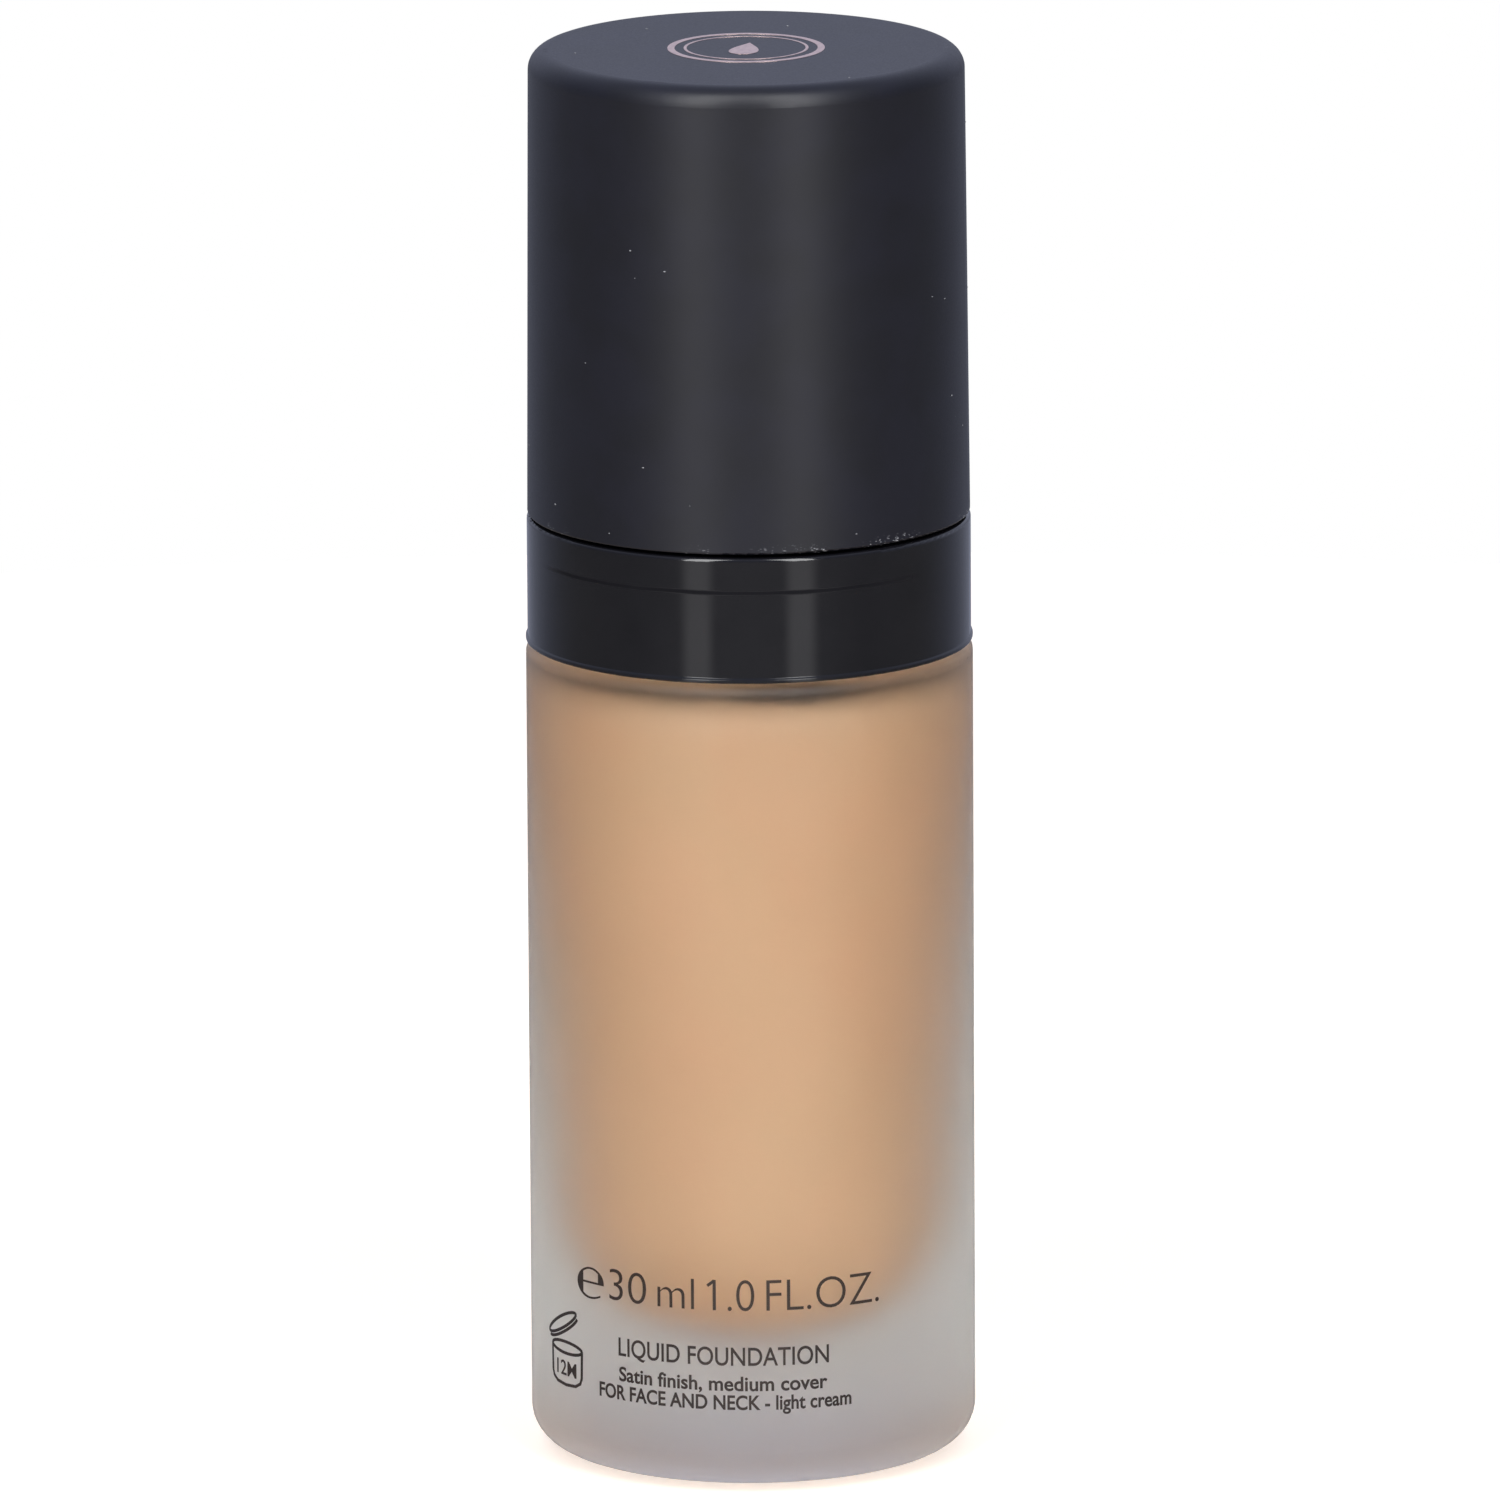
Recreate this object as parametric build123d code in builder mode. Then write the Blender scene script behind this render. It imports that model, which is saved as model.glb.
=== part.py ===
"""Heavy-base glass foundation bottle with a lotion pump and a pull-off cap.

Millimetres, +Z up. The origin is the centre of the base, where the bottle stands.
"""

import os
from math import atan2, cos, sin, sqrt

from build123d import *

os.makedirs("parts", exist_ok=True)

# Fits
running_fit = 0.05  # radial gap of a piece that slides or turns in another
stem_guide_fit = 0.1  # radial gap of the stem in its bushing
free_gap = 0.3  # gap between pieces that move past each other untouched
loose_gap = 0.4  # the same where moulded flanges pass a hole

# Glass bottle
bottle_diameter = 38.0
shoulder_height = 70.4
base_thickness = 9.8
lower_wall = 7.0
middle_wall = 5.6
upper_wall = 3.0
shoulder_thickness = 1.5
shoulder_curve = 3.6
heel_radius = 3.3
shoulder_edge_radius = 1.0
foot_inset = 5.0
foot_ring_width = 2.2
foot_height = 0.4
push_up = 0.7
neck_bore_radius = 7.0
neck_wall = 1.75
neck_height = 13.5
fill_drop = 1.9  # from the shoulder down to the surface of the filling

# Neck thread
thread_pitch = 3.175
thread_turns = 1.5
thread_depth = 1.25
thread_drop = 2.2  # from the neck's lip down to the end of the thread
glass_thread_base = 1.9
glass_thread_crest = 1.0
ferrule_thread_base = 1.1
ferrule_thread_crest = 0.5
thread_sink = 0.2  # how far a ridge is rooted in its wall

# Collar
collar_height = 10.76
collar_gap = 0.2
collar_inset = 0.15
collar_wall = 1.25
collar_lip_height = 0.3
collar_lip_stand = 0.15
guide_wall = 1.1
guide_rise = 7.54
bead_stand = 0.22
bead_drop = 2.9
sleeve_wall = 1.1
sleeve_fit = 0.02
sleeve_length = 10.8

# Cap
reveal_gap = 0.28
cap_height = 39.79
cap_inset = 0.05
cap_draft = 0.35
cap_wall = 1.25
cap_top_thickness = 1.6
cap_edge_radius = 1.7
liner_inset = 0.6
liner_wall = 0.86
liner_top_thickness = 1.0
liner_fit = 0.04
bead_fit = 0.08

# Ferrule
ferrule_wall = 1.85
ferrule_deck = 1.4
ferrule_foot_gap = 2.0

# Pump housing, from the neck down
gasket_thickness = 0.85
gasket_seat_gap = 0.05
flange_overhang = 0.75
flange_thickness = 1.3
throat_gap = 0.6
throat_wall = 0.8
housing_collar_wall = 1.3
retainer_depth = 6.1
barrel_radius = 4.0
barrel_wall = 1.0
barrel_depth = 16.0
ball_radius = 1.6
ball_seat_fit = 0.05
ball_side_gap = 0.5
ball_chamber_height = 2.8
ball_lip_reach = 0.2
ball_lip_height = 0.6
seat_cone_height = 1.6
inlet_radius = 1.0
inlet_length = 0.8
tube_radius = 1.6
tube_wall = 0.55
tube_socket_depth = 5.2
tube_socket_wall = 1.1
tube_end_gap = 1.6  # from the glass floor to the tip of the dip tube

# Moving pump pieces
pump_stroke = 4.5
retainer_flange_overlap = 1.3
retainer_flange_thickness = 1.2
bushing_wall = 1.0
plug_wall = 0.9
chimney_wall = 1.9
chimney_height = 1.3
stem_radius = 2.6
stem_wall = 1.1
stem_bore_step = 0.3
stem_collar_height = 1.1
stem_top_rise = 10.9
rod_flat_depth = 0.4
rod_grip = 4.0
rod_head_gap = 1.6
rod_head_height = 1.1
piston_height = 3.3
piston_play = 0.8
piston_head_gap = 0.4
piston_waist = 0.5
spring_wire_radius = 0.25
spring_inset = 0.4
spring_turns = 6

# Actuator
actuator_radius = 7.6
actuator_wall = 0.9
actuator_height = 18.7
actuator_top_thickness = 1.3
actuator_dish = 0.5
actuator_floor_gap = 0.5  # left above the retainer at full stroke
core_skirt_wall = 0.9
core_web_thickness = 1.2
core_post_radius = 2.9
socket_wall = 1.05
channel_radius = 1.0
nozzle_drop = 7.0
nozzle_reach = 2.8
nozzle_radius = 1.9
nozzle_tip_radius = 1.55
nozzle_plug_radius = 1.6
nozzle_plug_length = 2.4
nozzle_bore_radius = 0.6

# Radii worked out from the sizes above
bottle_radius = bottle_diameter / 2
lower_radius = bottle_radius - lower_wall
middle_radius = bottle_radius - middle_wall
upper_radius = bottle_radius - upper_wall
foot_outer_radius = bottle_radius - foot_inset
foot_inner_radius = foot_outer_radius - foot_ring_width
neck_radius = neck_bore_radius + neck_wall
ferrule_bore_radius = neck_radius + thread_depth + free_gap + running_fit
ferrule_radius = ferrule_bore_radius + ferrule_wall
sleeve_radius = ferrule_radius + sleeve_fit
flange_radius = neck_radius + flange_overhang
gasket_radius = flange_radius - 0.1
housing_throat_radius = neck_bore_radius - throat_gap
retainer_bore_radius = housing_throat_radius - throat_wall
housing_collar_radius = retainer_bore_radius + housing_collar_wall
ferrule_opening_radius = housing_collar_radius + loose_gap
retainer_flange_radius = ferrule_opening_radius + retainer_flange_overlap
well_radius = retainer_flange_radius + loose_gap
collar_radius = bottle_radius - collar_inset
cap_base_radius = collar_radius - cap_inset
cap_top_radius = cap_base_radius - cap_draft
shell_base_inner = cap_base_radius - cap_wall
shell_top_inner = cap_top_radius - cap_wall
liner_radius = shell_top_inner - liner_fit - liner_wall
guide_radius = liner_radius - bead_fit - bead_stand
barrel_outer_radius = barrel_radius + barrel_wall
ball_chamber_radius = ball_radius + ball_side_gap
ball_lip_radius = ball_radius - ball_lip_reach
stem_bore_clear = stem_radius + stem_guide_fit
bushing_radius = stem_bore_clear + bushing_wall
chimney_radius = stem_bore_clear + chimney_wall
plug_core_radius = retainer_bore_radius - plug_wall
stem_collar_radius = barrel_radius - loose_gap
rod_radius = stem_radius - stem_wall
stem_bore_radius = rod_radius - stem_bore_step
rod_head_radius = barrel_radius - rod_head_gap
spring_radius = rod_head_radius - spring_inset
core_radius = actuator_radius - actuator_wall
nozzle_boss_radius = nozzle_plug_radius + socket_wall
nozzle_boss_reach = sqrt(core_radius**2 - nozzle_boss_radius**2)

# Levels worked out from the sizes above, from the base up and from the neck down
cavity_foot = base_thickness + lower_radius
cavity_ceiling = shoulder_height - shoulder_thickness
cavity_shoulder = cavity_ceiling - shoulder_curve - 0.9
cavity_middle = (cavity_foot + cavity_shoulder) / 2
fill_level = shoulder_height - fill_drop
neck_top = shoulder_height + neck_height
glass_thread_start = neck_top - thread_drop - thread_pitch * thread_turns
ferrule_thread_start = glass_thread_start - thread_pitch / 2
gasket_bottom = neck_top + gasket_seat_gap
flange_bottom = gasket_bottom + gasket_thickness
flange_top = flange_bottom + flange_thickness
ferrule_underdeck = flange_top + free_gap
ferrule_top = ferrule_underdeck + ferrule_deck
ferrule_bottom = shoulder_height + ferrule_foot_gap
housing_top = ferrule_top + free_gap
retainer_bottom = housing_top - retainer_depth
retainer_top = housing_top + retainer_flange_thickness
chimney_top = retainer_top + chimney_height
spring_seat = retainer_bottom - barrel_depth
chamber_top = spring_seat - ball_lip_height
chamber_bottom = chamber_top - ball_chamber_height
seat_bottom = chamber_bottom - seat_cone_height
tube_top = seat_bottom - inlet_length
housing_bottom = tube_top - tube_socket_depth
tube_bottom = base_thickness + tube_end_gap
collar_bottom = shoulder_height + collar_gap
collar_top = collar_bottom + collar_height
guide_top = collar_top + guide_rise
bead_level = guide_top - bead_drop
cap_bottom = collar_top + reveal_gap
cap_top = cap_bottom + cap_height
cap_ceiling = cap_top - cap_top_thickness
liner_bottom = cap_bottom + liner_inset
stem_bottom = retainer_bottom - free_gap - stem_collar_height
stem_top = retainer_top + stem_top_rise
piston_top = stem_bottom - piston_play
piston_bottom = piston_top - piston_height
rod_head_top = piston_bottom - piston_head_gap
rod_head_bottom = rod_head_top - rod_head_height
actuator_bottom = retainer_top + pump_stroke + actuator_floor_gap
actuator_top = actuator_bottom + actuator_height
actuator_ceiling = actuator_top - actuator_top_thickness
core_bottom = actuator_bottom + free_gap
socket_bottom = chimney_top + pump_stroke + free_gap
socket_top = stem_top + free_gap
nozzle_level = actuator_top - nozzle_drop

# Inside wall of the glass, from the floor up: dome, tapered wall, rounded shoulder
dome_middle = (lower_radius * sin(0.785), cavity_foot - lower_radius * cos(0.785))
cavity_wall = [
    (lower_radius, cavity_foot),
    (middle_radius, cavity_middle),
    (upper_radius, cavity_shoulder),
]
cavity_corner = (upper_radius + 0.3, cavity_ceiling)
cavity_throat = (neck_bore_radius, cavity_ceiling + 0.4)


def cavity_scrap():
    """The space inside the glass, filled up to the top of the neck."""
    with BuildPart() as space:
        with BuildSketch(Plane.XZ):
            with BuildLine():
                ThreePointArc((0, base_thickness), dome_middle, cavity_wall[0])
                ThreePointArc(*cavity_wall)
                FilletPolyline(
                    cavity_wall[2],
                    cavity_corner,
                    cavity_throat,
                    (neck_bore_radius, neck_top),
                    (0, neck_top),
                    radius=[shoulder_curve, 1.2, 0],
                )
                Line((0, neck_top), (0, base_thickness))
            make_face()
        revolve(axis=Axis.Z)
    return space.part


def thread_ridge(root_radius, crest_radius, base_width, crest_width, bottom):
    """A right-hand thread ridge, from its root sunk in a wall to its crest."""
    depth = crest_radius - root_radius
    with BuildPart() as ridge:
        with BuildLine() as climb:
            Helix(thread_pitch, thread_pitch * thread_turns, root_radius, (0, 0, bottom))
        with BuildSketch(Plane(climb.line @ 0, x_dir=(1, 0, 0), z_dir=climb.line % 0)):
            with BuildLine():
                Polyline(
                    (0, -base_width / 2),
                    (0, base_width / 2),
                    (depth, crest_width / 2),
                    (depth, -crest_width / 2),
                    close=True,
                )
            make_face()
        sweep(path=climb.line, is_frenet=True)
    return ridge.part


# Glass bottle: thick moulded base, straight wall, threaded neck
with BuildPart() as glass_bottle:
    with BuildSketch(Plane.XZ):
        with BuildLine():
            FilletPolyline(
                (0, push_up),
                (foot_inner_radius - 4.0, push_up),
                (foot_inner_radius, 0),
                (foot_outer_radius, 0),
                (foot_outer_radius + 0.9, foot_height),
                (bottle_radius, foot_height),
                (bottle_radius, shoulder_height),
                (neck_radius, shoulder_height),
                (neck_radius, neck_top),
                (0, neck_top),
                radius=[6.0, 0.8, 0.3, 1.2, heel_radius, shoulder_edge_radius, 1.0, 0.5],
            )
            Line((0, neck_top), (0, push_up))
        make_face()
    revolve(axis=Axis.Z)
    add(cavity_scrap(), mode=Mode.SUBTRACT)
    add(
        thread_ridge(
            neck_radius - thread_sink,
            neck_radius + thread_depth,
            glass_thread_base,
            glass_thread_crest,
            glass_thread_start,
        )
    )

# Filling, with room left around the pump
with BuildPart() as foundation_liquid:
    add(cavity_scrap())
    with BuildSketch(Plane.XY.offset(fill_level)):
        Circle(bottle_radius)
    extrude(amount=neck_top - fill_level, mode=Mode.SUBTRACT)
    with BuildSketch(Plane.XY.offset(tube_bottom - free_gap)):
        Circle(tube_radius + free_gap)
    extrude(amount=housing_bottom - tube_bottom + free_gap, mode=Mode.SUBTRACT)
    with BuildSketch(Plane.XY.offset(housing_bottom - free_gap)):
        Circle(barrel_outer_radius + free_gap)
    extrude(amount=fill_level - housing_bottom + free_gap, mode=Mode.SUBTRACT)

# Gasket between the housing flange and the glass lip
with BuildPart() as neck_gasket:
    with BuildSketch(Plane.XY.offset(gasket_bottom)):
        Circle(gasket_radius)
        Circle(neck_bore_radius, mode=Mode.SUBTRACT)
    extrude(amount=gasket_thickness)

# Pump housing: flange, throat, barrel, ball chamber and tube socket
with BuildPart() as pump_housing:
    with BuildSketch(Plane.XZ):
        with BuildLine():
            Polyline(
                (tube_radius, housing_bottom),
                (tube_radius + tube_socket_wall, housing_bottom),
                (tube_radius + tube_socket_wall, seat_bottom),
                (barrel_outer_radius - 1.2, chamber_bottom),
                (barrel_outer_radius, spring_seat - 1.0),
                (barrel_outer_radius, retainer_bottom - 2.0),
                (housing_throat_radius, retainer_bottom - 1.0),
                (housing_throat_radius, flange_bottom),
                (flange_radius, flange_bottom),
                (flange_radius, flange_top),
                (housing_collar_radius, flange_top),
                (housing_collar_radius, housing_top),
                (retainer_bore_radius, housing_top),
                (retainer_bore_radius, retainer_bottom),
                (barrel_radius, retainer_bottom),
                (barrel_radius, spring_seat),
                (ball_lip_radius, spring_seat),
                (ball_lip_radius, chamber_top),
                (ball_chamber_radius, chamber_top),
                (ball_chamber_radius, chamber_bottom),
                (inlet_radius, seat_bottom),
                (inlet_radius, tube_top),
                (tube_radius, tube_top),
                close=True,
            )
        make_face()
    revolve(axis=Axis.Z)

# Dip tube, cut at a slant at its lower end
with BuildPart() as dip_tube:
    with BuildSketch(Plane.XY.offset(tube_bottom)):
        Circle(tube_radius)
        Circle(tube_radius - tube_wall, mode=Mode.SUBTRACT)
    extrude(amount=tube_top - tube_bottom)
    split(bisect_by=Plane((0, 0, tube_bottom + tube_radius), z_dir=(1, 0, 1)), keep=Keep.TOP)

# Check ball, resting on the cone of its seat
seat_slope = atan2(seat_cone_height, ball_chamber_radius - inlet_radius)
ball_rise = (ball_radius + ball_seat_fit - inlet_radius * sin(seat_slope)) / cos(seat_slope)
with BuildPart() as inlet_ball:
    with Locations((0, 0, seat_bottom + ball_rise)):
        Sphere(ball_radius)

# Retainer: plug, stem bushing and flange that holds the ferrule
with BuildPart() as stem_retainer:
    with BuildSketch(Plane.XZ):
        with BuildLine():
            FilletPolyline(
                (stem_bore_clear, retainer_bottom),
                (bushing_radius, retainer_bottom),
                (bushing_radius, housing_top - plug_wall),
                (plug_core_radius, housing_top - plug_wall),
                (plug_core_radius, retainer_bottom),
                (retainer_bore_radius, retainer_bottom),
                (retainer_bore_radius, housing_top),
                (retainer_flange_radius, housing_top),
                (retainer_flange_radius, retainer_top),
                (chimney_radius, retainer_top),
                (chimney_radius, chimney_top),
                (stem_bore_clear, chimney_top),
                radius=[0, 0, 0, 0, 0, 0, 0, 0, 0.45, 0.4, 0.3, 0],
                close=True,
            )
        make_face()
    revolve(axis=Axis.Z)

# Hollow stem that the actuator sits on
with BuildPart() as pump_stem:
    with BuildSketch(Plane.XZ):
        with BuildLine():
            Polyline(
                (rod_radius, stem_bottom),
                (stem_collar_radius, stem_bottom),
                (stem_collar_radius, stem_bottom + stem_collar_height),
                (stem_radius, stem_bottom + stem_collar_height),
                (stem_radius, stem_top),
                (stem_bore_radius, stem_top),
                (stem_bore_radius, stem_bottom + rod_grip),
                (rod_radius, stem_bottom + rod_grip),
                close=True,
            )
        make_face()
    revolve(axis=Axis.Z)

# Rod gripped by the stem, with two flats for the flow and a head under the piston
with BuildPart() as piston_rod:
    with BuildSketch(Plane.XY.offset(rod_head_bottom)):
        Circle(rod_head_radius)
    extrude(amount=rod_head_height)
    with BuildSketch(Plane.XY.offset(rod_head_top)):
        Circle(rod_radius)
        Rectangle(2 * rod_radius, 2 * (rod_radius - rod_flat_depth), mode=Mode.INTERSECT)
    extrude(amount=stem_bottom + rod_grip - rod_head_top)

# Piston with two sealing lips, loose around the rod
with BuildPart() as piston:
    with BuildSketch(Plane.XZ):
        with BuildLine():
            Polyline(
                (rod_radius + free_gap, piston_bottom),
                (barrel_radius - running_fit, piston_bottom),
                (barrel_radius - running_fit, piston_bottom + 0.6),
                (barrel_radius - piston_waist, piston_bottom + 1.2),
                (barrel_radius - piston_waist, piston_top - 1.2),
                (barrel_radius - running_fit, piston_top - 0.6),
                (barrel_radius - running_fit, piston_top),
                (rod_radius + free_gap, piston_top),
                close=True,
            )
        make_face()
    revolve(axis=Axis.Z)

# Coil spring between the barrel floor and the rod head
spring_travel = rod_head_bottom - spring_seat - 2 * spring_wire_radius
with BuildPart() as return_spring:
    with BuildLine() as coil:
        Helix(
            spring_travel / spring_turns,
            spring_travel,
            spring_radius,
            (0, 0, spring_seat + spring_wire_radius),
        )
    with BuildSketch(Plane(coil.line @ 0, x_dir=(1, 0, 0), z_dir=coil.line % 0)):
        Circle(spring_wire_radius)
    sweep(path=coil.line, is_frenet=True)

# Threaded ferrule that clamps the pump on the neck
with BuildPart() as threaded_ferrule:
    with BuildSketch(Plane.XZ):
        with BuildLine():
            Polyline(
                (ferrule_bore_radius, ferrule_bottom),
                (ferrule_radius, ferrule_bottom),
                (ferrule_radius, ferrule_top),
                (ferrule_opening_radius, ferrule_top),
                (ferrule_opening_radius, ferrule_underdeck),
                (ferrule_bore_radius, ferrule_underdeck),
                close=True,
            )
        make_face()
    revolve(axis=Axis.Z)
    add(
        thread_ridge(
            ferrule_bore_radius + thread_sink,
            neck_radius + free_gap + running_fit,
            ferrule_thread_base,
            ferrule_thread_crest,
            ferrule_thread_start,
        )
    )

# Collar shell: skirt over the shoulder, deck, cap guide with its bead, inner sleeve
collar_inner_radius = collar_radius - collar_wall
deck_underside = collar_top - collar_wall
with BuildPart() as collar_shell:
    with BuildSketch(Plane.XZ):
        with BuildLine():
            FilletPolyline(
                (collar_inner_radius, collar_bottom),
                (collar_radius + collar_lip_stand, collar_bottom),
                (collar_radius + collar_lip_stand, collar_bottom + collar_lip_height),
                (collar_radius, collar_bottom + collar_lip_height + collar_lip_stand),
                (collar_radius, collar_top),
                (guide_radius, collar_top),
                (guide_radius, bead_level - 0.5),
                (guide_radius + bead_stand, bead_level - 0.1),
                (guide_radius + bead_stand, bead_level + 0.1),
                (guide_radius, bead_level + 0.5),
                (guide_radius, guide_top),
                (well_radius, guide_top),
                (well_radius, ferrule_top),
                (sleeve_radius, ferrule_top),
                (sleeve_radius, ferrule_top - sleeve_length),
                (sleeve_radius + sleeve_wall, ferrule_top - sleeve_length),
                (sleeve_radius + sleeve_wall, guide_top - guide_wall),
                (guide_radius - guide_wall, guide_top - guide_wall),
                (guide_radius - guide_wall, deck_underside),
                (collar_inner_radius, deck_underside),
                radius=[
                    *[0.1, 0.1, 0.05, 0.05, 0.35, 0.2, 0, 0, 0, 0],
                    *[0.5, 0.2, 0, 0, 0, 0, 0, 0, 0, 0],
                ],
                close=True,
            )
        make_face()
    revolve(axis=Axis.Z)

# Actuator core: stem socket, flow channel, post under the cover, skirt
with BuildPart() as actuator_core:
    with BuildSketch(Plane.XZ):
        with BuildLine():
            Polyline(
                (stem_radius + running_fit, socket_bottom),
                (stem_radius + running_fit + socket_wall, socket_bottom),
                (stem_radius + running_fit + socket_wall, socket_top),
                (core_radius - core_skirt_wall, socket_top),
                (core_radius - core_skirt_wall, core_bottom),
                (core_radius, core_bottom),
                (core_radius, socket_top + core_web_thickness),
                (core_post_radius, socket_top + core_web_thickness),
                (core_post_radius, actuator_ceiling),
                (0, actuator_ceiling),
                (0, socket_top),
                (stem_radius + running_fit, socket_top),
                close=True,
            )
        make_face()
    revolve(axis=Axis.Z)
    with BuildSketch(Plane.XZ):
        with Locations((0, nozzle_level)):
            Circle(nozzle_boss_radius)
    extrude(amount=nozzle_boss_reach)
    with BuildSketch(Plane.XY.offset(socket_top)):
        Circle(channel_radius)
    extrude(amount=nozzle_level - socket_top, mode=Mode.SUBTRACT)
    with BuildSketch(Plane.XZ):
        with Locations((0, nozzle_level)):
            Circle(channel_radius)
    extrude(amount=core_radius, mode=Mode.SUBTRACT)
    with BuildSketch(Plane.XZ.offset(nozzle_boss_reach - nozzle_plug_length)):
        with Locations((0, nozzle_level)):
            Circle(nozzle_plug_radius)
    extrude(amount=nozzle_plug_length, mode=Mode.SUBTRACT)

# Actuator cover: rounded cap with a finger dish and a window for the nozzle
with BuildPart() as actuator_cover:
    with BuildSketch(Plane.XZ):
        with BuildLine():
            dish_edge = actuator_radius - 1.9
            FilletPolyline(
                (0, actuator_ceiling),
                (core_radius, actuator_ceiling),
                (core_radius, actuator_bottom),
                (actuator_radius, actuator_bottom),
                (actuator_radius, actuator_top),
                (dish_edge, actuator_top),
                radius=[0.4, 0.1, 0.25, 1.2],
            )
            ThreePointArc(
                (0, actuator_top - actuator_dish),
                (dish_edge / 2, actuator_top - 0.75 * actuator_dish),
                (dish_edge, actuator_top),
            )
            Line((0, actuator_top - actuator_dish), (0, actuator_ceiling))
        make_face()
    revolve(axis=Axis.Z)
    with BuildSketch(Plane.XZ):
        with Locations((0, nozzle_level)):
            Circle(nozzle_radius)
    extrude(amount=actuator_radius + 1, mode=Mode.SUBTRACT)

# Nozzle tip, pressed into the core through the window
with BuildPart() as nozzle_tip:
    with BuildSketch(Plane.YZ):
        with BuildLine():
            FilletPolyline(
                (nozzle_plug_length - nozzle_boss_reach, nozzle_level + nozzle_bore_radius),
                (nozzle_plug_length - nozzle_boss_reach, nozzle_level + nozzle_plug_radius),
                (-nozzle_boss_reach, nozzle_level + nozzle_plug_radius),
                (-nozzle_boss_reach, nozzle_level + nozzle_radius),
                (-actuator_radius, nozzle_level + nozzle_radius),
                (-actuator_radius - nozzle_reach, nozzle_level + nozzle_tip_radius),
                (-actuator_radius - nozzle_reach, nozzle_level + nozzle_bore_radius),
                radius=[0, 0, 0, 0, 0, 0.35, 0],
                close=True,
            )
        make_face()
    revolve(axis=Axis((0, 0, nozzle_level), (0, 1, 0)))

# Cap shell with a slight draft
with BuildPart() as cap_shell:
    with BuildSketch(Plane.XZ):
        with BuildLine():
            FilletPolyline(
                (0, cap_ceiling),
                (shell_top_inner, cap_ceiling),
                (shell_base_inner, cap_bottom),
                (cap_base_radius, cap_bottom),
                (cap_top_radius, cap_top),
                (0, cap_top),
                radius=[0.6, 0.15, 0.2, cap_edge_radius],
            )
            Line((0, cap_top), (0, cap_ceiling))
        make_face()
    revolve(axis=Axis.Z)

# Cap liner that grips the guide of the collar
liner_slope = (shell_base_inner - shell_top_inner) / (cap_ceiling - cap_bottom)
liner_base_outer = shell_base_inner - liner_slope * liner_inset - liner_fit
with BuildPart() as cap_liner:
    with BuildSketch(Plane.XZ):
        with BuildLine():
            FilletPolyline(
                (0, cap_ceiling - liner_top_thickness),
                (liner_radius, cap_ceiling - liner_top_thickness),
                (liner_radius, liner_bottom),
                (liner_base_outer, liner_bottom),
                (shell_top_inner - liner_fit, cap_ceiling),
                (0, cap_ceiling),
                radius=[1.0, 0.25, 0.15, 0.9],
            )
            Line((0, cap_ceiling), (0, cap_ceiling - liner_top_thickness))
        make_face()
    revolve(axis=Axis.Z)

pieces = {
    "glass_bottle": glass_bottle,
    "foundation_liquid": foundation_liquid,
    "neck_gasket": neck_gasket,
    "pump_housing": pump_housing,
    "dip_tube": dip_tube,
    "inlet_ball": inlet_ball,
    "stem_retainer": stem_retainer,
    "pump_stem": pump_stem,
    "piston_rod": piston_rod,
    "piston": piston,
    "return_spring": return_spring,
    "threaded_ferrule": threaded_ferrule,
    "collar_shell": collar_shell,
    "actuator_core": actuator_core,
    "actuator_cover": actuator_cover,
    "nozzle_tip": nozzle_tip,
    "cap_shell": cap_shell,
    "cap_liner": cap_liner,
}
for name, piece in pieces.items():
    piece.part.label = name
    export_step(piece.part, f"parts/{name}.step")
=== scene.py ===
"""Looks of a frosted glass foundation bottle with a lotion pump, collar and matte cap."""

import math

import bmesh
import bpy
from mathutils import Matrix, Vector


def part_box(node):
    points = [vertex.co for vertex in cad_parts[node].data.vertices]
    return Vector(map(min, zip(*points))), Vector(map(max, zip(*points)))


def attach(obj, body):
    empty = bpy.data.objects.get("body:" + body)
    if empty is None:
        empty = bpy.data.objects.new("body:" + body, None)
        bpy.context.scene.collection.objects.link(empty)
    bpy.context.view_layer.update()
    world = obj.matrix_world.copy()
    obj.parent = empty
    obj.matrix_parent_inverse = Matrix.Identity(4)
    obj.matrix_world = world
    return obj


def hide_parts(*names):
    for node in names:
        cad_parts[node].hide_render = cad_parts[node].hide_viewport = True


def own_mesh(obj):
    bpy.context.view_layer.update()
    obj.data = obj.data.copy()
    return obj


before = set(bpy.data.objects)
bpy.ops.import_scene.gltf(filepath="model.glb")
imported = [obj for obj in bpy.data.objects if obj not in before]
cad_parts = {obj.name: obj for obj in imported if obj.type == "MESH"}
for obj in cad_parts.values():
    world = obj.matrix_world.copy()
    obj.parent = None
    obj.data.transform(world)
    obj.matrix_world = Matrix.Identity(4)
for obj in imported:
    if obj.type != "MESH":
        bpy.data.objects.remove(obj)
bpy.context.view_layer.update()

MM = 0.001
VIEW_TURN = math.radians(8.5)  # the camera stands this far round from the printed side

cap_low, cap_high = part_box("cap_shell")
collar_low, collar_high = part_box("collar_shell")
tube_low, tube_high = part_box("dip_tube")
barrel_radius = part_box("glass_bottle")[1].x
fill_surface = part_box("foundation_liquid")[1].z
housing_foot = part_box("pump_housing")[0].z


def add_object(name, data):
    """An object with that data, in the scene at the origin."""
    made = bpy.data.objects.new(name, data)
    bpy.context.scene.collection.objects.link(made)
    return made


# Materials -----------------------------------------------------------------------------


def linear(hex_colour):
    """An sRGB hex colour as linear red, green, blue and a full alpha."""
    channels = [int(hex_colour[i : i + 2], 16) / 255 for i in (1, 3, 5)]
    return (
        *(c / 12.92 if c <= 0.04045 else ((c + 0.055) / 1.055) ** 2.4 for c in channels),
        1.0,
    )


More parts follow.
